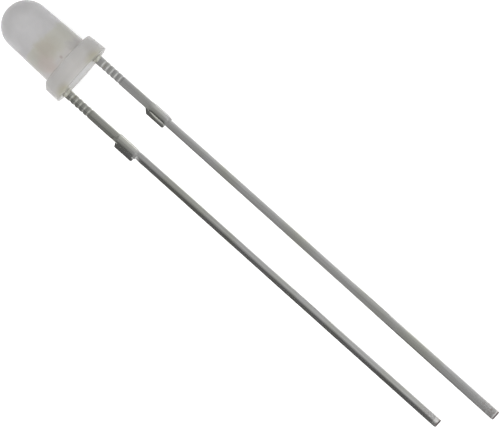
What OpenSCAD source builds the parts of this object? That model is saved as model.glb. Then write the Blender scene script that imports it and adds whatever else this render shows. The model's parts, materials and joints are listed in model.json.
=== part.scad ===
// Light emitting diode for through hole boards, with a three millimetre milky lens.
// It lies on a surface, on the rim of its flange and on the tips of its two leads.
//
// Every piece is drawn along the axis of the lens: X is 0 at the base of the lens, the leads run
// towards +X and the dome towards -X, the anode is on the +Y side, and Z crosses the lead sheet.
// lie_down() then turns the finished piece into its place of rest, with +Z up.
// Heights inside the lens are measured from its base towards the dome.

/* [Lens] */
// Height of the lens from its base to the top of its dome
lens_h = 5.55; // [4.8:0.05:8]
// Diameter of the round dome
dome_d = 2.84; // [2.7:0.02:2.96]
// Diameter of the barrel where it meets the flange
barrel_d = 2.98; // [2.86:0.02:3.3]
// Height of the flange
flange_h = 1.18; // [1.05:0.01:1.6]
// Diameter of the flange at its upper face
flange_top_d = 3.82; // [3.6:0.02:3.94]
// Diameter of the flange at the base of the lens
flange_base_d = 3.98; // [3.92:0.02:4.4]
// Distance from the axis to the flat on the cathode side of the flange
flat_reach = 1.93; // [1.7:0.01:1.95]
// Height of the slope that marks the cathode side of the flange
slope_h = 0.22; // [0.05:0.01:0.6]
// Radius of the hollow between the barrel and the flange
barrel_fillet = 0.06; // [0.02:0.01:0.12]
// Radius of the upper edge of the flange
flange_edge = 0.05; // [0.02:0.01:0.12]
// Bevel around the base of the lens
base_bevel = 0.07; // [0.02:0.01:0.15]
// Height that the resin creeps along each lead
creep_h = 0.14; // [0.05:0.01:0.35]
// Diameter of the creeping resin at the base of the lens
creep_d = 0.8; // [0.7:0.02:1.2]

/* [Leads] */
// Distance between the middles of the leads where they leave the lens
lead_pitch = 2.54; // [2.5:0.01:2.6]
// Width of a lead between the lens and its stop
lead_w = 0.49; // [0.4:0.01:0.5]
// Thickness of both leads outside the lens
lead_t = 0.48; // [0.4:0.01:0.49]
// Length of the anode lead below the lens
anode_len = 29.7; // [12:0.1:32]
// Length of the cathode lead below the lens
cathode_len = 27.6; // [10:0.1:30]
// Width of a lead beyond its stop
tail_w = 0.47; // [0.4:0.01:0.5]
// Distance between the middles of the leads beyond their stops
tail_pitch = 2.47; // [2.44:0.01:2.6]
// Radius of the crown that rolling leaves on each face of a lead
crown_r = 0.9; // [0.6:0.05:1.5]
// Diameter that rounds off the corners of a lead
corner_d = 0.6; // [0.58:0.01:0.62]
// How far the grooves and the stop of the anode sit beyond those of the cathode
anode_shift = 0.08; // [0:0.01:0.2]

/* [Grooves] */
// Number of grooves rolled across each lead
groove_n = 5; // [1:1:8]
// Distance from the base of the lens to the first groove
groove_first = 0.47; // [0.4:0.01:0.8]
// Distance between grooves
groove_pitch = 0.309; // [0.2:0.001:0.36]
// Width of a groove
groove_w = 0.13; // [0.06:0.01:0.16]
// Depth of a groove
groove_depth = 0.04; // [0.02:0.005:0.07]

/* [Stops] */
// Distance from the base of the lens to the stop of the cathode
stop_at = 3.7; // [3.2:0.05:6]
// Length of a stop along its lead
stop_l = 1.6; // [1:0.02:2]
// Thickness of the swollen part of a stop
stop_t = 0.58; // [0.52:0.01:0.7]
// How far the swollen part stands out on the side away from the ear
nub = 0.07; // [0.03:0.01:0.12]
// How far the ear of a stop stands out of its lead
ear_w = 0.25; // [0.1:0.01:0.4]
// Thickness of the ear
ear_t = 0.36; // [0.24:0.01:0.46]
// Length of the slopes at both ends of the swollen part
stop_slope = 0.16; // [0.06:0.01:0.3]
// Distance from the end of the swollen part to the ear
ear_inset = 0.06; // [0.02:0.01:0.2]
// Radius of the corner of the ear that faces the lead tips
ear_round = 0.12; // [0.04:0.01:0.2]

/* [Leadframe inside the lens] */
// Thickness of the sheet that the leads are stamped from
sheet_t = 0.5; // [0.5:0.01:0.56]
// Width of each lead where it enters the sheet part
neck_w = 0.52; // [0.52:0.01:0.6]
// Height where the sheet part begins
root_h = 0.2; // [0.1:0.01:0.3]
// Height where the sheet starts to bend towards the axis
jog_from = 0.35; // [0.32:0.01:0.5]
// Height where the bend ends
jog_to = 1; // [0.8:0.02:1.1]
// Distance from the axis to the outer edges of the post and the anvil
head_reach = 1.12; // [1:0.01:1.2]
// Height of the top of the anvil and of its cup
anvil_h = 3.1; // [2.8:0.05:3.4]
// Distance from the axis to the inner edge of the anvil
anvil_edge = 0.44; // [0.36:0.01:0.46]
// Height where the inner edge of the anvil becomes straight
anvil_foot = 1.75; // [1.4:0.05:2]
// Size of the sloped outer corner of the anvil
anvil_corner = 0.32; // [0.15:0.01:0.4]
// Height of the top of the post
post_h = 3.04; // [2.7:0.02:3.4]
// Distance from the axis to the inner edge of the post
post_edge = 0.8; // [0.74:0.01:0.86]
// How much wider the head of the post is than its stem
post_flare = 0.07; // [0.02:0.01:0.1]
// Length of the head of the post
post_head = 0.45; // [0.2:0.01:0.6]
// Radius of the stamped corners
stamp_r = 0.07; // [0.03:0.01:0.09]

/* [Cup, die and wire] */
// Diameter of the mouth of the reflector cup
cup_mouth = 0.84; // [0.7:0.02:0.86]
// Thickness of the rim of the cup
cup_rim = 0.08; // [0.05:0.01:0.1]
// Depth of the cup
cup_depth = 0.32; // [0.26:0.01:0.4]
// Diameter of the floor of the cup
cup_floor = 0.52; // [0.5:0.01:0.6]
// Height of the straight wall of the cup on the outside
cup_wall_h = 0.3; // [0.15:0.01:0.4]
// Height of the flare that joins the cup to the anvil
cup_flare_h = 0.45; // [0.3:0.01:0.7]
// Width of the square die
die_w = 0.28; // [0.2:0.01:0.3]
// Thickness of the die
die_t = 0.17; // [0.1:0.01:0.2]
// Thickness of the adhesive under the die
glue_t = 0.02; // [0.01:0.005:0.03]
// How high the adhesive creeps up the sides of the die
glue_creep = 0.04; // [0.02:0.01:0.06]
// Diameter of the adhesive on the floor of the cup
glue_d = 0.47; // [0.45:0.01:0.48]
// Diameter of the bond wire
wire_d = 0.03; // [0.02:0.005:0.05]
// Height of the wire loop above the line between its two ends
loop_h = 0.42; // [0.34:0.01:0.46]
// Diameter of the ball and of the stitch that end the wire
bond_d = 0.09; // [0.07:0.01:0.12]
// Thickness of the ball on the die
ball_t = 0.03; // [0.02:0.005:0.05]
// Thickness of the stitch on the post
stitch_t = 0.02; // [0.015:0.005:0.04]

/* [Hidden] */
$fn = 64;
LEAD_FACES = 4;
ARC_STEPS = 5;
// A cutter reaches past what it cuts by this much
past = 1;

dome_r = dome_d / 2;
barrel_r = barrel_d / 2;
flange_top_r = flange_top_d / 2;
flange_base_r = flange_base_d / 2;
cup_outer_r = cup_mouth / 2 + cup_rim;

// The barrel is a cone that leaves the dome along its tangent
dome_mid_h = lens_h - dome_r;
draft = atan((barrel_r - dome_r) / (dome_mid_h - flange_h));
tangent_h = dome_mid_h + dome_r * sin(draft);
tangent_r = dome_r * cos(draft);

// The widest circle of the lens, just above the bevel of its base
rim_r = flange_base_r - (flange_base_r - flange_top_r) * base_bevel / flange_h;

// The surface that the part lies on, z = rest_a + rest_b x + rest_c y in the frame of the lens,
// touches the widest circle of the lens and the crowned lower face of both lead tips
uneven = (anode_len - cathode_len) / tail_pitch;
crown_mid = crown_r - lead_t / 2;
rise = rim_r - crown_r;
reach = anode_len + base_bevel - uneven * tail_pitch / 2;
spread = reach * reach - rise * rise * uneven * uneven;
rest_b = (reach * crown_mid + sqrt(pow(reach * crown_mid, 2)
    - spread * (crown_mid * crown_mid - rise * rise))) / spread;
rest_c = -uneven * rest_b;
rest_s = sqrt(1 + rest_c * rest_c);
rest_a = rest_b * base_bevel - rim_r * rest_s;
roll = atan(-rest_c);
pitch = atan(rest_b / rest_s);
lift = -rest_a / sqrt(rest_s * rest_s + rest_b * rest_b);

// The middle of the resting part, seen from above
x_low = -dome_mid_h * cos(pitch) - dome_r;
x_high = anode_len * cos(pitch)
    + (crown_r - crown_mid * cos(roll) + tail_pitch / 2 * sin(roll)) * sin(pitch);
flat_half = sqrt(max(0, rim_r * rim_r - flat_reach * flat_reach));
y_low = -min(flat_reach, rim_r) * cos(roll) - flat_half * sin(roll);
y_high = rim_r;

// Heights in the cup
floor_h = anvil_h - cup_depth;
die_low_h = floor_h + glue_t;
die_top_h = die_low_h + die_t;

// The wire is an arc from the ball on the die to the stitch on the post
wire_from = [-die_top_h - ball_t / 2, 0];
wire_to = [-post_h - stitch_t / 2, (post_edge - post_flare + head_reach) / 2];
wire_span = norm(wire_to - wire_from);
wire_r = (wire_span * wire_span / 4 + loop_h * loop_h) / (2 * loop_h);
wire_across = [wire_to[1] - wire_from[1], wire_from[0] - wire_to[0]] / wire_span;
wire_mid = (wire_from + wire_to) / 2 + wire_across * (wire_r - loop_h);
wire_start = atan2(wire_to[1] - wire_mid[1], wire_to[0] - wire_mid[0]);
wire_turn = 2 * acos((wire_r - loop_h) / wire_r);

function unit(v) = v / norm(v);
// The arc that rounds corner p of an outline, between its neighbours before and after
function corner_arc(before, p, after, r) =
    let (a = unit(before - p), b = unit(after - p), half = acos(a * b) / 2,
        mid = p + unit(a + b) * r / sin(half),
        from = p + a * r / tan(half) - mid, to = p + b * r / tan(half) - mid,
        start = atan2(from[1], from[0]), end = atan2(to[1], to[0]),
        turn = end - start - 360 * round((end - start) / 360))
    [for (i = [0 : ARC_STEPS]) mid + r * [cos(start + turn * i / ARC_STEPS),
        sin(start + turn * i / ARC_STEPS)]];
// An outline whose first and last points stay sharp and whose other corners are rounded
function stamped(pts, r) =
    let (n = len(pts))
    concat([pts[0]], [for (i = [1 : n - 2]) each corner_arc(pts[i - 1], pts[i], pts[i + 1], r)],
        [pts[n - 1]]);

// Turns a piece from the frame of the lens into its place of rest
module lie_down() {
    translate([-(x_low + x_high) / 2, -(y_low + y_high) / 2, lift])
        rotate([roll, pitch, 0]) children();
}

// Stands a shape that is drawn upwards on the base of the lens, facing the dome
module towards_dome() {
    rotate([0, -90, 0]) children();
}

// Draws a section along X, with its width along Y and its thickness along Z
module along_x(from, to) {
    translate([from, 0, 0]) rotate([90, 0, 90]) linear_extrude(to - from) children();
}

// The rolled section of a lead: four crowned faces and rounded corners
module lead_section(w, t) {
    intersection() {
        translate([0, crown_r - t / 2]) circle(crown_r);
        translate([0, t / 2 - crown_r]) circle(crown_r);
        translate([crown_r - w / 2, 0]) circle(crown_r);
        translate([w / 2 - crown_r, 0]) circle(crown_r);
        circle(d = corner_d);
    }
}

// A wedge that presses a groove across the face of a lead at x
module groove_cut(x, half) {
    run = (groove_depth + past) / groove_depth * groove_w / 2;
    translate([x, 0, half - groove_depth]) rotate([90, 0, 0])
        linear_extrude(2 * past, center = true) polygon([[0, 0], [run, groove_depth + past],
            [-run, groove_depth + past]]);
}

// The grooves around a lead that stop solder and resin from creeping
module grooves() {
    for (i = [0 : groove_n - 1], side = [0 : LEAD_FACES - 1])
        rotate([90 * side, 0, 0]) groove_cut(groove_first + i * groove_pitch,
            (side % 2 == 0 ? lead_t : lead_w) / 2);
}

// The swollen part of a stop, with sloped ends and a round top and bottom
module stop_swell() {
    low = -lead_w / 2 - nub / 2;
    high = lead_w / 2 + nub;
    intersection() {
        translate([0, 0, -stop_t / 2]) linear_extrude(stop_t) polygon([
            [stop_at, low + nub], [stop_at, high - nub],
            [stop_at + stop_slope, high], [stop_at + stop_l - stop_slope, high],
            [stop_at + stop_l, high - nub], [stop_at + stop_l, low + nub],
            [stop_at + stop_l - stop_slope, low], [stop_at + stop_slope, low]]);
        along_x(stop_at, stop_at + stop_l) intersection() {
            translate([0, crown_r - stop_t / 2]) circle(crown_r);
            translate([0, stop_t / 2 - crown_r]) circle(crown_r);
        }
    }
}

// The ear of a stop: what is left of the bar that joined the leads when they were stamped
module stop_ear() {
    inner = -lead_w / 2 + nub;
    outer = -lead_w / 2 - ear_w;
    near = stop_at + ear_inset;
    far = stop_at + stop_l - ear_inset;
    linear_extrude(ear_t, center = true) union() {
        polygon([[near, inner], [near, outer + ear_w], [near + ear_w, outer],
            [far - ear_round, outer], [far - ear_round, inner]]);
        translate([far - 2 * ear_round, outer + ear_round])
            square([2 * ear_round, inner - outer - ear_round]);
        translate([far - ear_round, outer + ear_round]) circle(ear_round);
    }
}

// The part of a lead outside the lens, on its own centre line, with its tip at len
module outer_lead(len, shift, tail_y) {
    difference() {
        along_x(-root_h - sheet_t / 2, stop_at + shift + stop_l / 2)
            lead_section(lead_w, lead_t);
        translate([shift, 0, 0]) grooves();
    }
    translate([shift, 0, 0]) {
        stop_swell();
        stop_ear();
    }
    translate([0, tail_y, 0]) along_x(stop_at + shift + stop_l / 2, len)
        lead_section(tail_w, lead_t);
}

// The post: the head of the anode lead, which the wire is bonded to
module post() {
    enter = lead_pitch / 2;
    linear_extrude(sheet_t, center = true) polygon(stamped([
        [-root_h, enter + neck_w / 2], [-jog_from, enter + neck_w / 2],
        [-jog_to, head_reach], [-post_h, head_reach],
        [-post_h, post_edge - post_flare], [-post_h + post_head, post_edge - post_flare],
        [-post_h + post_head + post_flare * 2, post_edge], [-jog_to, post_edge],
        [-jog_from, enter - neck_w / 2], [-root_h, enter - neck_w / 2]], stamp_r));
}

// The anvil: the head of the cathode lead, which ends in the reflector cup
module anvil() {
    enter = -lead_pitch / 2;
    linear_extrude(sheet_t, center = true) polygon(stamped([
        [-root_h, enter - neck_w / 2], [-jog_from, enter - neck_w / 2],
        [-jog_to, -head_reach], [-anvil_h + anvil_corner, -head_reach],
        [-anvil_h, -head_reach + anvil_corner], [-anvil_h, anvil_edge],
        [-anvil_foot, anvil_edge], [-jog_from, enter + neck_w / 2],
        [-root_h, enter + neck_w / 2]], stamp_r));
}

// The outside of the cup, pressed out of the anvil on both faces
module cup_outside() {
    towards_dome() translate([0, 0, anvil_h - cup_wall_h - cup_flare_h]) {
        cylinder(h = cup_flare_h, r1 = sheet_t / 2 - nub, r2 = cup_outer_r);
        translate([0, 0, cup_flare_h]) cylinder(h = cup_wall_h, r = cup_outer_r);
    }
}

// The bright cone that the die sits in
module cup_hollow() {
    slope = (cup_mouth - cup_floor) / 2 / cup_depth;
    towards_dome() translate([0, 0, floor_h])
        cylinder(h = cup_depth + past, d1 = cup_floor, d2 = cup_mouth + 2 * slope * past);
}

module anode_solid() {
    post();
    translate([0, lead_pitch / 2, 0])
        outer_lead(anode_len, anode_shift, (tail_pitch - lead_pitch) / 2);
}

module cathode_solid() {
    difference() {
        union() {
            anvil();
            cup_outside();
        }
        cup_hollow();
    }
    translate([0, -lead_pitch / 2, 0])
        outer_lead(cathode_len, 0, (lead_pitch - tail_pitch) / 2);
}

module die_solid() {
    translate([-die_top_h, -die_w / 2, -die_w / 2]) cube([die_t, die_w, die_w]);
}

// The adhesive fills the gap under the die and creeps up its sides
module glue_solid() {
    difference() {
        towards_dome() translate([0, 0, floor_h])
            cylinder(h = glue_t + glue_creep, d1 = glue_d, d2 = die_w * sqrt(2) + glue_t);
        die_solid();
    }
}

module wire_solid() {
    translate([wire_mid[0], wire_mid[1], 0]) rotate([0, 0, wire_start])
        rotate_extrude(angle = wire_turn) translate([wire_r, 0]) circle(d = wire_d, $fn = 16);
    towards_dome() {
        translate([0, 0, die_top_h]) cylinder(h = ball_t, d = bond_d, $fn = 24);
        translate([0, wire_to[1], post_h]) cylinder(h = stitch_t, d = bond_d, $fn = 24);
    }
}

// Half of the section of the lens, radius across and height up, revolved about the axis
module lens_profile() {
    difference() {
        union() {
            polygon([[0, 0], [flange_base_r - base_bevel, 0], [rim_r, base_bevel],
                [flange_top_r + flange_edge * (flange_base_r - flange_top_r) / flange_h,
                    flange_h - flange_edge],
                [flange_top_r - flange_edge, flange_h - flange_edge],
                [flange_top_r - flange_edge, flange_h], [0, flange_h]]);
            translate([flange_top_r - flange_edge, flange_h - flange_edge])
                circle(flange_edge);
            polygon([[0, flange_h - past / 2], [barrel_r, flange_h - past / 2],
                [barrel_r, flange_h], [tangent_r, tangent_h], [0, tangent_h]]);
            square_fillet();
        }
        translate([barrel_r + barrel_fillet, flange_h + barrel_fillet]) circle(barrel_fillet);
    }
}

// The stock that the hollow between barrel and flange is cut from
module square_fillet() {
    inside = tan(draft) * barrel_fillet;
    polygon([[barrel_r - inside, flange_h - past / 2], [barrel_r + barrel_fillet, flange_h - past / 2],
        [barrel_r + barrel_fillet, flange_h], [barrel_r, flange_h + barrel_fillet],
        [barrel_r - inside, flange_h + barrel_fillet]]);
}

// The lens before the leadframe takes its place in it
module lens_stock() {
    difference() {
        towards_dome() {
            rotate_extrude() lens_profile();
            translate([0, 0, dome_mid_h]) sphere(dome_r);
        }
        cathode_cut();
    }
    creep();
}

// The flat and the slope that mark the cathode side of the flange
module cathode_cut() {
    linear_extrude(2 * flange_base_d, center = true) polygon([
        [past, -flat_reach], [-flange_h + slope_h, -flat_reach], [-flange_h, -barrel_r],
        [-flange_h - past, -barrel_r], [-flange_h - past, -flange_base_d],
        [past, -flange_base_d]]);
}

// The resin that creeps along each lead where it leaves the lens
module creep() {
    for (side = [-1, 1]) translate([0, side * lead_pitch / 2, 0]) rotate([0, 90, 0])
        cylinder(h = creep_h, d1 = creep_d, d2 = corner_d + creep_h / 4);
}

module lens() {
    color([0.90, 0.90, 0.89, 0.75]) lie_down() difference() {
        lens_stock();
        anode_solid();
        cathode_solid();
        die_solid();
        glue_solid();
        wire_solid();
    }
}

module anode_lead() {
    color([0.66, 0.66, 0.64]) lie_down() anode_solid();
}

module cathode_lead() {
    color([0.62, 0.62, 0.60]) lie_down() cathode_solid();
}

module led_die() {
    color([0.35, 0.22, 0.20]) lie_down() die_solid();
}

module die_attach() {
    color([0.72, 0.72, 0.70]) lie_down() glue_solid();
}

module bond_wire() {
    color([0.85, 0.68, 0.30]) lie_down() wire_solid();
}

lens();
anode_lead();
cathode_lead();
led_die();
die_attach();
bond_wire();
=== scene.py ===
"""The looks of a 3 mm through hole LED that lies on its flange and lead tips.

A milky lens and two plated leads are laid over the CAD solids and set in a light tent, under a camera at the
photograph's angle."""

import json
import math

import bmesh
import bpy
from mathutils import Matrix, Vector


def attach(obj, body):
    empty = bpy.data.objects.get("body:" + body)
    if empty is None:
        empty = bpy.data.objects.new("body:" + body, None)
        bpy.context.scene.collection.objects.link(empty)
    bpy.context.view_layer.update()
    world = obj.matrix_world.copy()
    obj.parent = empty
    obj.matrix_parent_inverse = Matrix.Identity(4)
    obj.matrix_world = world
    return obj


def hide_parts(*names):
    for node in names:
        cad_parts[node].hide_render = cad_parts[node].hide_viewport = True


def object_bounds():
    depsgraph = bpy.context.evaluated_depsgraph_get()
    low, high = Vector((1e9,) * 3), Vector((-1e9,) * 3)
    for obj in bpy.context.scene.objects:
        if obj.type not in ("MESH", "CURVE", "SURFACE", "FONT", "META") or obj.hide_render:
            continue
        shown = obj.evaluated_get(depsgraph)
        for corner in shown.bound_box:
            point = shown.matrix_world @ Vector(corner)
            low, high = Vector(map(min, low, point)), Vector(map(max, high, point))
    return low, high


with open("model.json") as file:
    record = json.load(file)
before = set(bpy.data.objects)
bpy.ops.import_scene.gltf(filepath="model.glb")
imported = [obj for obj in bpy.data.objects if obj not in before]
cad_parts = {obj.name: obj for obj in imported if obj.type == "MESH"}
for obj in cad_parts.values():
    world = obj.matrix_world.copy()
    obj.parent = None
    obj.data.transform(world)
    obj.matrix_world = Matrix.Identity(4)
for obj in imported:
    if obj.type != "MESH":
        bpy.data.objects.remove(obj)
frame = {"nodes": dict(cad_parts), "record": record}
cad_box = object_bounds()
record = frame["record"]
MM = 0.001

# The photograph's frame
PHOTO_W, PHOTO_H = 500, 430
# Pixels of the photograph for a millimetre of the part
PX_PER_MM = 18.05
# The axis of the lens runs this many degrees down to the right in the photograph
AXIS_DOWN = 41.8
# Where the middle of the lens's base lies in the photograph, in pixels
SEAT_PX = (81.9, 75.2)
# How far the camera leans from the vertical towards the lead tips, in degrees
LEAN_TIPS = 6.7
# The camera's distance in metres, and the width of its sensor in millimetres
CAMERA_AWAY = 0.6
SENSOR = 36.0

# Sizes in millimetres, in the frame of the lens: X from its base along its axis to the tips, Y to the anode
# and Z up. The lens has the CAD's sizes, but its barrel and dome are a hair wider and its base has a crisper
# edge.
LENS_H = 5.55
DOME_R = 1.43
BARREL_R = 1.51
FLANGE_H = 1.18
FLANGE_TOP_R = 1.91
FLANGE_BASE_R = 1.99
FLAT_REACH = 1.93
SLOPE_H = 0.22
# The slope above the flat ends this far outside the barrel
SLOPE_END = 0.01
FILLET_R = 0.06
EDGE_R = 0.05
BASE_BEVEL = 0.035
# Radii of rings on the base, heights of rings on the side of the flange, and steps along the other stretches
BASE_RINGS = (0.4, 0.9, 1.4, 1.8)
FLANGE_RINGS = (0.35, 0.65)
EDGE_STEPS = 4
BARREL_STEPS = 12
DOME_STEPS = 24
# Where the arcs of the base's edge and of the dome start, and where the dome's ends, in degrees
BEVEL_FROM = -60
DOME_FROM, DOME_TO = 4, 88

LEAD_PITCH = 2.54
TAIL_PITCH = 2.47
LEAD_W = 0.49
LEAD_T = 0.48
TAIL_W = 0.47
CROWN_R = 0.9
CORNER_R = 0.3
ANODE_LEN = 29.7
CATHODE_LEN = 27.6
ANODE_SHIFT = 0.08
# How far inside the lens a dressed lead starts, and the CAD's head ends
LEAD_START = 0.3
HEAD_CUT = 0.12
# As the photograph shows it, a shank is this much wider than the CAD's, a little more on its cathode side
SHANK_MORE = 0.06
SIDE_STEP = 0.007

GROOVES = 5
GROOVE_FIRST = 0.47
GROOVE_PITCH = 0.309
GROOVE_W = 0.13
GROOVE_DEPTH = 0.04
# The section of a groove as (place along the lead in groove widths, share of the depth)
GROOVE_PROFILE = ((-0.8, 0), (-0.6, 0.2), (-0.05, 0.9), (0.15, 1), (0.75, 0))
# The rings between the last groove and the stop keep these distances from them
GROOVE_CLEAR = 0.1
STOP_CLEAR = 0.03
SHANK_STEPS = 6

STOP_AT = 3.7
STOP_L = 1.6
STOP_T = 0.58
NUB = 0.07
# The swell of a stop: how long it takes to fade, how much wider it is than LEAD_W, its shift to the anode
# side, the radius of its upper face, and how much further out its lower and upper corners lie
SWELL_OUT = 0.3
SWELL_STEPS = 32
SWELL_WIDER = NUB * 1.5
SWELL_ASIDE = NUB / 4
SWELL_CROWN = 0.48
SWELL_CORNER = 0.06
SWELL_UPPER = 0.02
# The facet of the swell: its lean in degrees, and its distance from the middle, which shrinks as the swell
# grows until the facet's edge falls on a point of the section. Elsewhere the edge would show as a light line.
SWELL_FACET = -33
FACET_AWAY = 0.40
FACET_CLOSER = 0.0801

EAR_W = 0.25
EAR_T = 0.36
EAR_INSET = 0.06
EAR_ROUND = 0.12
EAR_BEVEL = 0.03
# The rolled upper edge of an ear falls by this share of its width
EAR_ROLL = 0.55
EAR_STEPS = 6

# A tail starts this far past its stop
TAIL_START = 0.04
TAIL_STEPS = 48
# Where the leaning facet of the cathode's tail meets its upper face, from the middle towards the anode
TAIL_RIDGE = -0.03
# How far the cut of a tip leans back over the thickness, and how steeply its rolled edge falls
TIP_SLOPE = 0.08
TIP_ROLL = 0.28
# The cut face as a share of the lead's section, and how far its rounded edge reaches back
TIP_FACE = 0.94
TIP_EDGE = 0.012

# The resin that creeps up a lead: height, thickness at the foot and at its end, how hollow its curve is, and
# where its foot lies in the lens
CREEP_H = 0.18
CREEP_OUT = 0.07
CREEP_FILM = 0.01
CREEP_HOLLOW = 2.4
CREEP_FOOT = -0.05
CREEP_STEPS = 10

# The stretch before a tip that handling has worn: where it starts, and from where it is worn in full
WORN_FROM = 1.9
WORN_FULL = 0.2

# Points around the lens and around a lead
RING = 96
SECTION = 64
# Corners sharper than this many degrees are left unsmoothed
LENS_SMOOTH = 40
LEAD_SMOOTH = 24


def mount(name):
    return next(m for m in record["mounts"] if m["name"] == name)


def lens_frame():
    """The matrix from the frame of the lens, in millimetres, to the row frame, from the record's mounts."""
    seat = mount("seat")
    along = Vector(seat["axis"]).normalized()
    across = Vector(mount("anode_pin")["pos_m"]) - Vector(mount("cathode_pin")["pos_m"])
    across = (across - along * across.dot(along)).normalized()
    up = along.cross(across)
    turn = Matrix((along, across, up)).transposed().to_4x4()
    return Matrix.Translation(Vector(seat["pos_m"])) @ turn @ Matrix.Scale(MM, 4)


TO_ROW = lens_frame()
TO_LENS = TO_ROW.inverted()


def new_object(name, bm, materials, smooth_angle):
    """Turns a bmesh, drawn in the frame of the lens, into a piece in the row frame."""
    bmesh.ops.recalc_face_normals(bm, faces=bm.faces)
    bm.transform(TO_ROW)
    mesh = bpy.data.meshes.new(name)
    bm.to_mesh(mesh)
    bm.free()
    for face in mesh.polygons:
        face.use_smooth = True
    mesh.set_sharp_from_angle(angle=math.radians(smooth_angle))
    ob = bpy.data.objects.new(name, mesh)
    bpy.context.scene.collection.objects.link(ob)
    for material in materials:
        mesh.materials.append(material)
    return ob


def loft(bm, rings, close_ends=True):
    """Joins rings of equally many points into a tube, with a fan at each end. Returns its faces."""
    made = []
    rows = [[bm.verts.new(p) for p in ring] for ring in rings]
    for low, high in zip(rows, rows[1:]):
        n = len(low)
        for i in range(n):
            j = (i + 1) % n
            made.append(bm.faces.new((low[i], low[j], high[j], high[i])))
    if close_ends:
        for row in (rows[0], rows[-1]):
            middle = bm.verts.new(sum((v.co for v in row), Vector()) / len(row))
            n = len(row)
            for i in range(n):
                made.append(bm.faces.new((row[i], row[(i + 1) % n], middle)))
    return made


class Nodes:
    """Builds the node tree of a material or world with short calls."""

    def __init__(self, owner, output="ShaderNodeOutputMaterial"):
        self.owner = owner
        owner.use_nodes = True
        self.tree = owner.node_tree
        self.tree.nodes.clear()
        self.out = self.add(output)

    def add(self, kind, **values):
        node = self.tree.nodes.new(kind)
        for key, value in values.items():
            setattr(node, key, value)
        return node

    def link(self, source, target):
        self.tree.links.new(source, target)

    def principled(self, **sockets):
        node = self.add("ShaderNodeBsdfPrincipled")
        for key, value in sockets.items():
            node.inputs[key.replace("_", " ")].default_value = value
        return node

    def finish(self, shader):
        """Links a shader to the output. Returns the material or world."""
        self.link(shader.outputs[0], self.out.inputs["Surface"])
        return self.owner

    def local(self, scale=(1, 1, 1)):
        """Coordinates in the frame of the lens, in millimetres, as a vector and as (x, y, z)."""
        coords = self.add("ShaderNodeTexCoord")
        turn = TO_LENS.to_3x3().normalized()
        shift = self.add("ShaderNodeVectorMath", operation="SUBTRACT")
        shift.inputs[1].default_value = TO_ROW.translation
        self.link(coords.outputs["Object"], shift.inputs[0])
        parts = []
        for axis in range(3):
            dot = self.add("ShaderNodeVectorMath", operation="DOT_PRODUCT")
            dot.inputs[1].default_value = Vector(turn[axis]) * (scale[axis] / MM)
            self.link(shift.outputs["Vector"], dot.inputs[0])
            parts.append(dot.outputs["Value"])
        join = self.add("ShaderNodeCombineXYZ")
        for axis in range(3):
            self.link(parts[axis], join.inputs[axis])
        return join.outputs["Vector"], parts

    def noise(self, vector, scale, detail=3, roughness=0.5):
        node = self.add("ShaderNodeTexNoise")
        node.inputs["Scale"].default_value = scale
        node.inputs["Detail"].default_value = detail
        node.inputs["Roughness"].default_value = roughness
        self.link(vector, node.inputs["Vector"])
        return node.outputs["Fac"]

    def wander(self, vector, scale, detail, reach):
        """A noise around 0, reach from its lowest to its highest."""
        centred = self.math("SUBTRACT", self.noise(vector, scale, detail), 0.5)
        return self.math("MULTIPLY", centred, reach)

    def ramp(self, factor, stops):
        node = self.add("ShaderNodeValToRGB")
        elements = node.color_ramp.elements
        while len(elements) < len(stops):
            elements.new(0.5)
        for element, (at, colour) in zip(elements, stops):
            element.position = at
            element.color = (*colour, 1)
        self.link(factor, node.inputs["Fac"])
        return node.outputs["Color"]

    def by_sine(self, component, table):
        """The level that a table of (sine, level) gives for a component of a direction."""
        share = self.math("MULTIPLY_ADD", component, 0.5, 0.5, clamp=True)
        return self.ramp(share, [((sine + 1) / 2, (level,) * 3) for sine, level in table])

    def math(self, operation, *values, clamp=False):
        node = self.add("ShaderNodeMath", operation=operation, use_clamp=clamp)
        for socket, value in zip(node.inputs, values):
            if isinstance(value, (int, float)):
                socket.default_value = value
            else:
                self.link(value, socket)
        return node.outputs[0]

    def mix(self, factor, a, b, blend="MIX"):
        node = self.add("ShaderNodeMix", data_type="RGBA", blend_type=blend)
        # Inputs 6 and 7 are the sockets A and B for colours
        for socket, value in ((node.inputs["Factor"], factor), (node.inputs[6], a), (node.inputs[7], b)):
            if isinstance(value, (int, float)):
                socket.default_value = value
            elif isinstance(value, tuple):
                socket.default_value = (*value, 1)
            else:
                self.link(value, socket)
        return node.outputs[2]

    def tint(self, tone, mask, share, colour):
        """Mixes a share of a colour into a tone where the mask is 1."""
        return self.mix(self.math("MULTIPLY", mask, share), tone, colour)

    def bump(self, height, distance, under=None):
        """A bump of the given height in metres, on top of another bump if one is given."""
        node = self.add("ShaderNodeBump")
        node.inputs["Distance"].default_value = distance
        self.link(height, node.inputs["Height"])
        if under is not None:
            self.link(under, node.inputs["Normal"])
        return node.outputs["Normal"]

    def rise(self, value, start, end):
        """0 below start, 1 above end and a smooth step between. It falls instead if end is below start."""
        node = self.add("ShaderNodeMapRange", interpolation_type="SMOOTHSTEP")
        node.inputs["From Min"].default_value = start
        node.inputs["From Max"].default_value = end
        self.link(value, node.inputs["Value"])
        return node.outputs["Result"]

    def spot(self, x, y, middle, size, soft):
        """1 inside an ellipse across x and y, fading to 0 over its edge."""
        squares = []
        for value, centre, radius in zip((x, y), middle, size):
            off = self.math("MULTIPLY", self.math("SUBTRACT", value, centre), 1 / radius)
            squares.append(self.math("MULTIPLY", off, off))
        away = self.math("SQRT", self.math("ADD", *squares))
        return self.rise(away, 1 + soft, 1 - soft)


def new_material(name):
    return Nodes(bpy.data.materials.new(name))


def grey(level):
    """The linear value of an 8-bit sRGB level."""
    s = level / 255
    return s / 12.92 if s <= 0.04045 else ((s + 0.055) / 1.055) ** 2.4


def rgb(r, g, b):
    return (grey(r), grey(g), grey(b))


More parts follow.
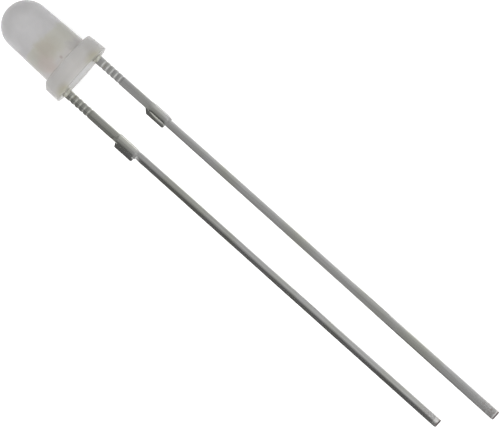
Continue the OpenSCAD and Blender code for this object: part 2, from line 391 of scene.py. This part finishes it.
# How pale the resin is painted by its place along the lens, from its start to the base. This is painted light
# and shade: it lightens the barrel where the flange shades it and darkens the flange and the base, which the
# lamps light more, so each part is toned to look as it does in the photograph.
RESIN_PAINTED_SHADE_START = -2.6
RESIN_PAINTED_SHADE = (
    (-2.5, 0.75), (-2.0, 0.79), (-1.6, 0.88), (-1.3, 0.97), (-1.19, 1.0), (-1.17, 0.7), (-0.6, 0.72),
    (-0.3, 0.66), (-0.07, 0.6), (-0.03, 0.44), (-0.01, 0.42), (0, 0.42))
# Painted shade of the leadframe seen through the resin, put in the resin's colour: middle and radii along and
# across the lens, softness of the edge, share, colour
SEEN_THROUGH_SHADE = (
    ((-2.35, -0.15), (0.6, 0.55), 0.5, 0.8, rgb(200, 195, 184)),
    ((-1.75, -0.8), (0.6, 0.45), 0.6, 0.6, rgb(218, 207, 203)),
    ((-1.4, 1.1), (0.35, 0.35), 0.5, 0.7, rgb(196, 194, 192)))
# Painted shade seen through the resin, with its exact place: around the roots of the leads, and the dark spot
# of the chip
SHARP_SEEN_THROUGH_SHADE = (
    ((-0.05, -1.25), (0.34, 0.46), 0.6, 0.7, rgb(192, 189, 168)),
    ((-0.05, 1.25), (0.34, 0.46), 0.6, 0.7, rgb(192, 189, 168)),
    ((-1.42, 0.06), (0.09, 0.07), 0.6, 0.6, rgb(180, 164, 157)))


def lens_material():
    """Milky diffused epoxy: light spreads inside it, and the leadframe shows through as a faint shadow,
    partly through the resin and partly as painted shade in its colour, which is also painted lighter and
    darker along the lens.
    """
    n = new_material("milky_epoxy")
    vector, (x, y, _) = n.local()
    cloud = n.noise(vector, 1.1)
    along = n.math("ADD", x, n.wander(vector, 1.6, 3, 0.9))
    across = n.math("ADD", y, n.wander(vector, 2.1, 2, 0.7))
    tone = n.ramp(cloud, [(0.35, rgb(213, 212, 213)), (0.65, rgb(222, 221, 222))])
    tone = n.mix(n.rise(x, -1.9, -1.1), tone, rgb(216, 214, 212))
    # Painted shade of the leadframe sheet, seen through the resin
    sheet = n.math("MULTIPLY", n.rise(along, -3.0, -2.75), n.rise(along, -1.2, -1.9))
    tone = n.tint(tone, sheet, 0.9, rgb(212, 211, 202))
    # Painted shade of what lies inside, seen through the resin
    for middle, size, soft, share, colour in SEEN_THROUGH_SHADE:
        tone = n.tint(tone, n.spot(along, across, middle, size, soft), share, colour)
    # Painted shade of the leads' roots and of the chip, seen through the resin
    for middle, size, soft, share, colour in SHARP_SEEN_THROUGH_SHADE:
        tone = n.tint(tone, n.spot(x, y, middle, size, soft), share, colour)
    # Painted light and shade along the lens: the table above multiplies the resin's colour
    height = n.add("ShaderNodeMapRange")
    height.inputs["From Min"].default_value = RESIN_PAINTED_SHADE_START
    height.inputs["From Max"].default_value = 0
    n.link(x, height.inputs["Value"])
    depth = n.ramp(height.outputs["Result"], [(1 - at / RESIN_PAINTED_SHADE_START, (level,) * 3) for at, level in RESIN_PAINTED_SHADE])
    tone = n.mix(1.0, tone, depth, blend="MULTIPLY")
    shader = n.principled(
        Roughness=0.24,
        IOR=1.53,
        Subsurface_Weight=1.0,
        Subsurface_Scale=0.002,
        Specular_IOR_Level=0.12,
        Transmission_Weight=0.18,
    )
    shader.inputs["Subsurface Radius"].default_value = (1.0, 0.97, 0.94)
    n.link(tone, shader.inputs["Base Color"])
    n.link(n.bump(n.noise(vector, 9), 0.000004), shader.inputs["Normal"])
    return n.finish(shader)


def creep_material():
    """Resin that has crept up a lead: a thin, pale skin with an olive tint, and whitish spots that are
    painted highlights.
    """
    n = new_material("crept_epoxy")
    vector, _ = n.local()
    spots = n.noise(vector, 7, detail=2)
    # The whitish top of the ramp is painted highlight: glints on the crept resin
    tone = n.ramp(spots, [(0.4, rgb(158, 157, 146)), (0.56, rgb(166, 165, 155)), (0.68, rgb(190, 189, 181))])
    shader = n.principled(Roughness=0.25, Specular_IOR_Level=0.35)
    n.link(tone, shader.inputs["Base Color"])
    n.link(n.bump(spots, 0.000008), shader.inputs["Normal"])
    return n.finish(shader)


def lead_material():
    """Tin-plated steel with long rolling streaks and olive patches, speckled where the tips were handled."""
    n = new_material("tin_plate")
    vector, (x, y, _) = n.local()
    drawn_out, _ = n.local((0.25, 9, 9))
    streak = n.noise(drawn_out, 1.0, detail=4, roughness=0.6)
    patch = n.noise(vector, 0.35)
    tone = n.ramp(streak, [(0.25, rgb(204, 204, 202)), (0.75, rgb(222, 222, 221))])
    olive = n.ramp(patch, [(0.46, (0, 0, 0)), (0.6, (1, 1, 1))])
    tone = n.tint(tone, olive, 0.6, rgb(202, 203, 190))
    # The two leads end at different lengths
    anode = n.math("GREATER_THAN", y, 0)
    tip = n.math("SUBTRACT", x, n.math("MULTIPLY", anode, ANODE_LEN - CATHODE_LEN))
    worn = n.rise(tip, CATHODE_LEN - WORN_FROM, CATHODE_LEN - WORN_FULL)
    grain = n.noise(vector, 11, detail=2, roughness=0.6)
    tone = n.tint(tone, n.math("MULTIPLY", worn, n.rise(grain, 0.52, 0.6)), 0.6, rgb(172, 156, 150))
    tone = n.tint(tone, n.math("MULTIPLY", worn, n.rise(grain, 0.42, 0.34)), 0.8, rgb(252, 251, 249))
    rough = n.math("ADD", n.math("MULTIPLY", streak, 0.13), n.math("MULTIPLY", worn, 0.1))
    shader = n.principled(Metallic=1.0, IOR=2.5)
    n.link(tone, shader.inputs["Base Color"])
    n.link(n.math("ADD", rough, 0.15), shader.inputs["Roughness"])
    waves = n.bump(n.noise(vector, 0.9, detail=1), 0.00002)
    n.link(n.bump(streak, 0.000006, waves), shader.inputs["Normal"])
    return n.finish(shader)


def head_material():
    """The stamped sheet inside the lens: dull, with olive and brownish stains that the resin lets through."""
    n = new_material("leadframe")
    vector, _ = n.local()
    tone = n.ramp(n.noise(vector, 1.1), [
        (0.35, rgb(128, 124, 98)),
        (0.5, rgb(150, 144, 118)),
        (0.58, rgb(160, 128, 112)),
        (0.7, rgb(190, 160, 152)),
    ])
    shader = n.principled(Metallic=0.5, Roughness=0.6)
    n.link(tone, shader.inputs["Base Color"])
    n.link(n.bump(n.noise(vector, 20), 0.000004), shader.inputs["Normal"])
    return n.finish(shader)


def mottled_material(name, low, high, roughness, metallic=1.0):
    """The finish of a small metal or mineral piece, mottled between two tones."""
    n = new_material(name)
    vector, _ = n.local()
    spots = n.noise(vector, 6.0)
    shader = n.principled(Metallic=metallic, Roughness=roughness)
    n.link(n.ramp(spots, [(0.3, low), (0.7, high)]), shader.inputs["Base Color"])
    n.link(n.bump(spots, 0.000003), shader.inputs["Normal"])
    return n.finish(shader)


def arc(middle, radius, start, end, steps):
    """Points of an arc as pairs, from start to end in degrees."""
    return [
        (
            middle[0] + radius * math.cos(math.radians(start + (end - start) * i / steps)),
            middle[1] + radius * math.sin(math.radians(start + (end - start) * i / steps)),
        )
        for i in range(steps + 1)
    ]


def spaced(start, end, count):
    """Places from start to end, with count equal steps between them."""
    return [start + (end - start) * i / count for i in range(count + 1)]


def lens_profile():
    """The section of the lens as (radius, height), from the middle of its base to the top of its dome."""
    draft = math.degrees(math.atan((BARREL_R - DOME_R) / (LENS_H - DOME_R - FLANGE_H)))
    lean = math.tan(math.radians(draft))
    side = (FLANGE_BASE_R - FLANGE_TOP_R) / FLANGE_H
    rim_r = FLANGE_BASE_R - side * BASE_BEVEL
    points = [(r, 0.0) for r in (*BASE_RINGS, FLANGE_BASE_R - BASE_BEVEL)]
    points += arc((rim_r - BASE_BEVEL, BASE_BEVEL), BASE_BEVEL, BEVEL_FROM, 0, EDGE_STEPS)
    for height in (*FLANGE_RINGS, FLANGE_H - SLOPE_H, FLANGE_H - SLOPE_H / 2):
        points.append((FLANGE_BASE_R - side * height, height))
    points += arc((FLANGE_TOP_R - EDGE_R, FLANGE_H - EDGE_R), EDGE_R, 0, 90, EDGE_STEPS)
    points += arc((BARREL_R + FILLET_R, FLANGE_H + FILLET_R), FILLET_R, 270, 180 + draft, EDGE_STEPS)
    for height in spaced(FLANGE_H + FILLET_R, LENS_H - DOME_R, BARREL_STEPS)[1:]:
        points.append((BARREL_R - lean * (height - FLANGE_H), height))
    points += arc((0, LENS_H - DOME_R), DOME_R, DOME_FROM, DOME_TO, DOME_STEPS)
    return points


def side_limit(height):
    """How far the cathode side of the lens reaches at a height: its flat, and the slope above it."""
    slope_end = BARREL_R + SLOPE_END
    if height <= FLANGE_H - SLOPE_H:
        return FLAT_REACH
    if height <= FLANGE_H:
        share = (height - FLANGE_H + SLOPE_H) / SLOPE_H
        return FLAT_REACH + (slope_end - FLAT_REACH) * share
    return slope_end


def build_lens(resin, creep):
    """The outer skin of the lens, with the resin that creeps along the leads."""
    bm = bmesh.new()
    rings = []
    for radius, height in lens_profile():
        limit = side_limit(height)
        ring = []
        for i in range(RING):
            angle = 2 * math.pi * (i + 0.5) / RING
            r = radius
            if math.sin(angle) < 0:
                r = min(r, limit / -math.sin(angle))
            ring.append(Vector((-height, r * math.sin(angle), r * math.cos(angle))))
        rings.append(ring)
    loft(bm, rings)
    for side in (-1, 1):
        collar = []
        for k in range(CREEP_STEPS + 1):
            # The resin climbs in a hollow curve that ends as a thin film
            t = k / CREEP_STEPS
            out = CREEP_FILM + (CREEP_OUT - CREEP_FILM) * (1 - t) ** CREEP_HOLLOW
            x = CREEP_FOOT if k == 0 else CREEP_H * t
            ring = section_points(LEAD_W + 2 * out, LEAD_T + 2 * out, CORNER_R + out)
            collar.append(place_ring(x, ring, side * LEAD_PITCH / 2))
        for face in loft(bm, collar):
            face.material_index = 1
    return new_object("lens_body", bm, (resin, creep), LENS_SMOOTH)


def section_points(w, t, corner=CORNER_R, cut=0.0, facets=(), crown=CROWN_R, upper=None):
    """The rolled section of a lead, w wide and t thick, as (y, z) around its middle.

    No point lies further from the middle than corner, or than upper in the upper half where upper is given.
    The faces bulge with the radius CROWN_R, and the upper face with crown. A groove sets faces and facets
    back by cut. A facet is (degrees from the top face, distance from the middle), an edge that the stamping
    rolled over."""
    points = []
    for i in range(SECTION):
        a = 2 * math.pi * (i + 0.5) / SECTION
        dy, dz = math.cos(a), math.sin(a)
        r = upper if upper and dz > 0 else corner
        for half, across, bulge in ((t / 2, dz, crown if dz > 0 else CROWN_R), (w / 2, dy, CROWN_R)):
            # The ray from the middle meets the bulge, a circle whose middle lies on the far side
            set_back = bulge - half
            push = set_back * abs(across)
            r = min(r, -push + math.sqrt(push * push + bulge * bulge - set_back * set_back))
            if cut > 0 and abs(across) > 1e-6:
                r = min(r, (half - cut) / abs(across))
        for lean, away in facets:
            toward = dy * math.sin(math.radians(lean)) + dz * math.cos(math.radians(lean))
            if toward > 1e-6:
                r = min(r, (away - cut) / toward)
        points.append((r * dy, r * dz))
    return points


def top_facet(lean, at):
    """The facet that leans by lean degrees and meets the upper face at the distance at from its middle."""
    a = math.radians(lean)
    return (lean, at * math.sin(a) + (LEAD_T / 2 - at * at / 2) * math.cos(a))


def place_ring(x, points, centre_y):
    return [Vector((x, centre_y + y, z)) for y, z in points]


# How the rolling and stamping left each lead. Sizes are in millimetres. A pair goes from the stop to the tip.
# - shift: how much further out its grooves and stop lie
# - shank: crown, upper and facets of the shank's section, as section_points takes them
# - facets, crown, upper: the same of the tail's section
# - lean: a facet of the tail whose lean grows towards the tip, in degrees
# - widen: how much wider the tail is than TAIL_W
# - aside, tail_aside: steps of the shank and the tail to the cathode side
# - drift: step of the tip to the anode side
# - run_in: how long the swell of the stop takes to grow
# - tip_run: how far back the rolled edge of the tip reaches
# - ear_from, ear_run, ear_slope, ear_edge, ear_lift: start of the ear after that of its stop, length of its
#   sloped end, slope of its upper face, width of the rolled edge, and rise of the upper face
ANODE_SHAPE = {
    "shift": ANODE_SHIFT,
    "shank": {"crown": 4.0, "upper": 0.34},
    "facets": (),
    "crown": (0.9, 1.2),
    "widen": (0.02, 0.13),
    "upper": (0.33, 0.37),
    "run_in": 0.5,
    "tip_run": 0.08,
    "aside": 0.0,
    "tail_aside": 0.0,
    "drift": -0.02,
    "ear_from": 0.06,
    "ear_run": 0.25,
    "ear_slope": 0.26,
    "ear_edge": 0.06,
    "ear_lift": 0.06,
}
CATHODE_SHAPE = {
    "shift": 0.0,
    "shank": {"crown": 3.0, "upper": 0.34, "facets": ((-17, 0.2295), (-9, 0.2305))},
    "facets": ((-25, 0.226), (-12, 0.229)),
    "crown": (3.0, 3.0),
    "lean": (3.5, 12.0),
    "widen": (0.05, 0.062),
    "upper": (0.34, 0.35),
    "run_in": 0.18,
    "tip_run": 0.26,
    "aside": -0.004,
    "tail_aside": 0.001,
    "drift": 0.0,
    "ear_from": 0.16,
    "ear_run": 0.12,
    "ear_slope": 0.24,
    "ear_edge": 0.14,
    "ear_lift": 0.07,
}


def between(pair, share):
    return pair[0] + (pair[1] - pair[0]) * share


def swell_growth(along, run_in):
    """How far the swell of a stop has grown, from 0 to 1, at a distance from its start."""
    edge = max(0.0, min(1.0, along / run_in, (STOP_L - along) / SWELL_OUT))
    return edge * edge * (3 - 2 * edge)


def swell_section(shank, grow):
    """The section of a stop where its swell has grown by grow."""
    return section_points(
        LEAD_W + SHANK_MORE + (SWELL_WIDER - SHANK_MORE) * grow,
        LEAD_T + (STOP_T - LEAD_T) * grow,
        CORNER_R + SWELL_CORNER * grow,
        facets=((SWELL_FACET, FACET_AWAY - FACET_CLOSER * grow),),
        upper=shank["upper"] + SWELL_UPPER * grow,
        crown=1 / ((1 - grow) / shank["crown"] + grow / SWELL_CROWN))


def tail_section(shape, share):
    """The section of a tail at a share of its length from the stop to the tip."""
    facets = shape["facets"]
    if "lean" in shape:
        facets += (top_facet(between(shape["lean"], share), TAIL_RIDGE),)
    return section_points(
        TAIL_W + between(shape["widen"], share),
        LEAD_T,
        facets=facets,
        crown=between(shape["crown"], share),
        upper=between(shape["upper"], share))


def build_outer_lead(bm, side, length, shape):
    """The part of a lead outside the lens: grooves, stop, and a tail that changes a little on its way."""
    shift, shank = shape["shift"], shape["shank"]
    shank_y = side * LEAD_PITCH / 2 - SIDE_STEP - shape["aside"]
    tail_y = side * TAIL_PITCH / 2 - SIDE_STEP - shape["tail_aside"]

    def shank_ring(x, cut=0.0):
        return place_ring(x, section_points(LEAD_W + SHANK_MORE, LEAD_T, cut=cut, **shank), shank_y)

    rings = [shank_ring(-LEAD_START)]
    for i in range(GROOVES):
        at = GROOVE_FIRST + shift + i * GROOVE_PITCH
        for offset, depth in GROOVE_PROFILE:
            rings.append(shank_ring(at + offset * GROOVE_W, GROOVE_DEPTH * depth))
    begin, end = STOP_AT + shift, STOP_AT + shift + STOP_L
    grooves_end = rings[-1][0][0]
    for x in spaced(grooves_end + GROOVE_CLEAR, begin - STOP_CLEAR, SHANK_STEPS):
        rings.append(shank_ring(x))
    for along in spaced(0, STOP_L, SWELL_STEPS):
        grow = swell_growth(along, shape["run_in"])
        rings.append(place_ring(begin + along, swell_section(shank, grow), shank_y + SWELL_ASIDE * grow))
    slope_from = length - TIP_SLOPE - shape["tip_run"]
    for x in spaced(end + TAIL_START, slope_from, TAIL_STEPS):
        share = (x - end) / (slope_from - end)
        rings.append(place_ring(x, tail_section(shape, share), tail_y + shape["drift"] * share))
    loft(bm, rings)
    build_tip(bm, place_ring(0, tail_section(shape, 1), tail_y + shape["drift"]), length, shape["tip_run"])
    build_ear(bm, begin + shape["ear_from"], end - EAR_INSET, side * LEAD_PITCH / 2, shape)


def build_tip(bm, ring, length, run):
    """The sheared end of a lead: rolled over along its upper edge, and bare metal on its face."""
    low = min(p.z for p in ring)
    high = max(p.z for p in ring)
    middle = sum(ring, Vector()) / len(ring)
    root, mouth, outer, inner = [], [], [], []
    for p in ring:
        back = TIP_SLOPE * (p.z - low) / (high - low)
        z = p.z - max(p.z, 0) / high * run * TIP_ROLL
        shrunk = middle + (Vector((0, p.y, z)) - middle) * TIP_FACE
        root.append(Vector((length - TIP_SLOPE - run, p.y, p.z)))
        mouth.append(Vector((length - TIP_SLOPE, p.y, z)))
        outer.append(Vector((length - back - TIP_EDGE, p.y, z)))
        inner.append(Vector((length - back, shrunk.y, shrunk.z)))
    loft(bm, [root, mouth, outer, inner], close_ends=False)
    face = bm.faces.new([bm.verts.new(p) for p in inner])
    face.material_index = 1


def build_ear(bm, near, far, lead_y, shape):
    """The ear of a stop: a sheared stub with a sloped end, a round one, and a rolled upper edge."""
    run, slope, edge = shape["ear_run"], shape["ear_slope"], shape["ear_edge"]
    inner = lead_y - LEAD_W / 2 + NUB
    outer = lead_y - LEAD_W / 2 - EAR_W
    outline = [(near, inner), (near, outer + EAR_W), (near + run / 2, outer + EAR_W / 2)]
    outline += [(x, outer) for x in spaced(near + run, far - EAR_ROUND, EAR_STEPS)[:-1]]
    outline += arc((far - EAR_ROUND, outer + EAR_ROUND), EAR_ROUND, 270, 360, EAR_STEPS)
    outline += [(far, inner)]
    middle, half, depth = (near + far) / 2, (far - near) / 2, inner - outer
    low, top = -EAR_T / 2, EAR_T / 2 + shape["ear_lift"]
    rings = []
    for inset, z in ((EAR_BEVEL, low), (0, low + EAR_BEVEL), (0, top - edge * EAR_ROLL), (edge, top)):
        ring = []
        for x, y in outline:
            fall = slope * (inner - y) if z > 0 else 0
            ring.append(Vector((
                middle + (x - middle) * (1 - inset / half),
                inner + (y - inner) * (1 - inset / depth),
                z - fall,
            )))
        rings.append(ring)
    loft(bm, rings)


def inner_head(bm, node):
    """Adds what lies inside the lens of a CAD lead to bm, cut off just inside the base of the lens."""
    head = bmesh.new()
    head.from_mesh(frame["nodes"][node].data)
    head.transform(TO_LENS)
    bmesh.ops.remove_doubles(head, verts=head.verts, dist=1e-5)
    cut = bmesh.ops.bisect_plane(
        head, geom=head.verts[:] + head.edges[:] + head.faces[:],
        plane_co=(-HEAD_CUT, 0, 0), plane_no=(1, 0, 0), clear_outer=True)
    bmesh.ops.holes_fill(head, edges=[e for e in cut["geom_cut"] if isinstance(e, bmesh.types.BMEdge)])
    for face in head.faces:
        face.material_index = 2
    mesh = bpy.data.meshes.new("head")
    head.to_mesh(mesh)
    head.free()
    bm.from_mesh(mesh)
    bpy.data.meshes.remove(mesh)


def build_lead(node, side, length, shape, materials):
    """A lead in place of its CAD node. The materials are those of its skin, its cut end and its head."""
    bm = bmesh.new()
    build_outer_lead(bm, side, length, shape)
    inner_head(bm, node)
    ob = new_object(node + "_dressed", bm, materials, LEAD_SMOOTH)
    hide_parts(node)
    finish_piece(ob)


def finish_piece(ob):
    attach(ob, "root")


def set_material(node, material):
    ob = frame["nodes"][node]
    ob.data.materials.clear()
    ob.data.materials.append(material)


# Half the width of the floor in metres, how far it lies under the part, and its light of its own, seen from
# outside and through the resin
FLOOR_SIZE = 0.6
FLOOR_GAP = 0.00001
FLOOR_GLOW = 0.52
FLOOR_GLOW_THROUGH = 0.75
# Brightness of the tent by the sine of the angle from straight up, from the cathode side to the anode side
TENT = (
    (-1, 0.05), (-0.9, 0.15), (-0.72, 0.18), (-0.56, 0.35), (-0.4, 0.44), (-0.1, 0.43), (0.05, 0.58),
    (0.2, 0.7), (0.35, 0.77), (0.72, 0.8), (0.79, 1.9), (0.89, 1.9), (0.94, 0.4), (1, 0.3))
# How much brighter it is by the same sine from the dome to the lead tips
TENT_ENDS = (
    (-1, 1), (-0.75, 0.9), (-0.6, 0.5), (-0.3, 1), (0.4, 1), (0.5, 1.6), (0.62, 2.4), (0.8, 2.4), (1, 2))
# Its strength at the floor and higher up, and the sine of the height where its upper part starts
TENT_LOW, TENT_HIGH, TENT_RISE = 0.32, 0.8, 0.5


def floor_material():
    """A pale floor that keeps the shadow. For the camera, metal and resin its own light makes it white."""
    n = new_material("pale_floor")
    vector, _ = n.local()
    tone = n.ramp(n.noise(vector, 0.05), [(0.3, rgb(225, 225, 225)), (0.7, rgb(228, 228, 228))])
    shader = n.principled(Roughness=0.9, Specular_IOR_Level=0.1)
    n.link(tone, shader.inputs["Base Color"])
    glow = n.add("ShaderNodeEmission")
    glow.inputs["Color"].default_value = (1, 1, 1, 1)
    seen = n.add("ShaderNodeLightPath")
    direct = n.math("ADD", seen.outputs["Is Camera Ray"], seen.outputs["Is Glossy Ray"], clamp=True)
    outside = n.math("MULTIPLY", direct, FLOOR_GLOW)
    through = n.math("MULTIPLY", seen.outputs["Is Transmission Ray"], FLOOR_GLOW_THROUGH)
    n.link(n.math("ADD", outside, through), glow.inputs["Strength"])
    both = n.add("ShaderNodeAddShader")
    n.link(shader.outputs[0], both.inputs[0])
    n.link(glow.outputs[0], both.inputs[1])
    return n.finish(both)


def build_floor():
    bm = bmesh.new()
    bmesh.ops.create_grid(bm, x_segments=8, y_segments=8, size=FLOOR_SIZE)
    mesh = bpy.data.meshes.new("floor")
    bm.to_mesh(mesh)
    bm.free()
    ob = bpy.data.objects.new("floor", mesh)
    ob.location = (0, 0, cad_box[0][2] - FLOOR_GAP)
    bpy.context.scene.collection.objects.link(ob)
    mesh.materials.append(floor_material())


def build_world():
    """A light tent: pale on the anode side and at the tips, dim on the cathode side and near the floor.

    The camera sees it white."""
    world = bpy.data.worlds.new("studio")
    bpy.context.scene.world = world
    n = Nodes(world, "ShaderNodeOutputWorld")
    coords = n.add("ShaderNodeTexCoord")
    split = n.add("ShaderNodeSeparateXYZ")
    n.link(coords.outputs["Generated"], split.inputs[0])
    sides = n.by_sine(split.outputs["Y"], TENT)
    ends = n.by_sine(split.outputs["X"], TENT_ENDS)
    upper = n.math("MULTIPLY", n.rise(split.outputs["Z"], 0, TENT_RISE), TENT_HIGH - TENT_LOW)
    total = n.math("MULTIPLY", n.math("MULTIPLY", sides, ends), n.math("ADD", upper, TENT_LOW))
    seen = n.add("ShaderNodeLightPath")
    back = n.add("ShaderNodeBackground")
    back.inputs["Color"].default_value = (1, 1, 1, 1)
    n.link(n.math("MAXIMUM", total, seen.outputs["Is Camera Ray"]), back.inputs["Strength"])
    n.finish(back)


def softbox(name, towards, away, size, power):
    """An area lamp that faces the part from a direction in the row frame. No surface mirrors it."""
    data = bpy.data.lights.new(name, "AREA")
    data.shape = "RECTANGLE"
    data.size, data.size_y = size
    data.energy = power
    ob = bpy.data.objects.new(name, data)
    direction = Vector(towards).normalized()
    ob.location = direction * away
    ob.rotation_euler = direction.to_track_quat("Z", "Y").to_euler()
    ob.visible_glossy = False
    bpy.context.scene.collection.objects.link(ob)


def image_axes():
    """(right, up, towards the camera) of the photograph's view, in the row frame."""
    along = TO_ROW.to_3x3().col[0].normalized()
    lean = math.radians(LEAN_TIPS)
    back = Vector((math.sin(lean), 0, math.cos(lean)))
    flat_x = (along - back * along.dot(back)).normalized()
    flat_y = back.cross(flat_x)
    down = math.radians(AXIS_DOWN)
    right = flat_x * math.cos(down) + flat_y * math.sin(down)
    up = flat_y * math.cos(down) - flat_x * math.sin(down)
    return right, up, back


def build_camera():
    """Aims a long lens so that the base of the LED's lens falls on its pixel at the photograph's scale."""
    right, up, back = image_axes()
    seat = TO_ROW.translation
    per_px = MM / PX_PER_MM
    target = seat + right * (PHOTO_W / 2 - SEAT_PX[0]) * per_px - up * (PHOTO_H / 2 - SEAT_PX[1]) * per_px
    data = bpy.data.cameras.new("camera")
    data.sensor_fit = "HORIZONTAL"
    data.sensor_width = SENSOR
    data.lens = SENSOR * CAMERA_AWAY / (PHOTO_W * per_px)
    data.clip_start, data.clip_end = 0.01, 5
    ob = bpy.data.objects.new("camera", data)
    turn = Matrix((right, up, back)).transposed().to_4x4()
    ob.matrix_world = Matrix.Translation(target + back * CAMERA_AWAY) @ turn
    bpy.context.scene.collection.objects.link(ob)
    bpy.context.scene.camera = ob


bpy.context.scene.view_settings.view_transform = "Standard"
build_camera()

lens = build_lens(lens_material(), creep_material())
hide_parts("lens")
finish_piece(lens)
metals = (
    lead_material(),
    mottled_material("cut_end", rgb(40, 27, 27), rgb(70, 50, 48), 0.7, metallic=0.0),
    head_material(),
)
build_lead("anode_lead", 1, ANODE_LEN, ANODE_SHAPE, metals)
build_lead("cathode_lead", -1, CATHODE_LEN, CATHODE_SHAPE, metals)
set_material("led_die", mottled_material("chip", rgb(84, 50, 44), rgb(120, 78, 66), 0.35, metallic=0.4))
set_material("die_attach", mottled_material("silver_glue", rgb(170, 168, 160), rgb(205, 203, 196), 0.5))
set_material("bond_wire", mottled_material("gold_wire", rgb(214, 168, 80), rgb(236, 196, 110), 0.25))

build_floor()
build_world()
softbox("key", towards=(-0.1, -1.5, 0.9), away=0.6, size=(0.6, 0.3), power=0.65)
softbox("top", towards=(0, -0.25, 1), away=0.7, size=(0.6, 0.6), power=2.5)
softbox("end", towards=(1.5, -0.2, 0.6), away=0.6, size=(0.3, 0.2), power=1.2)
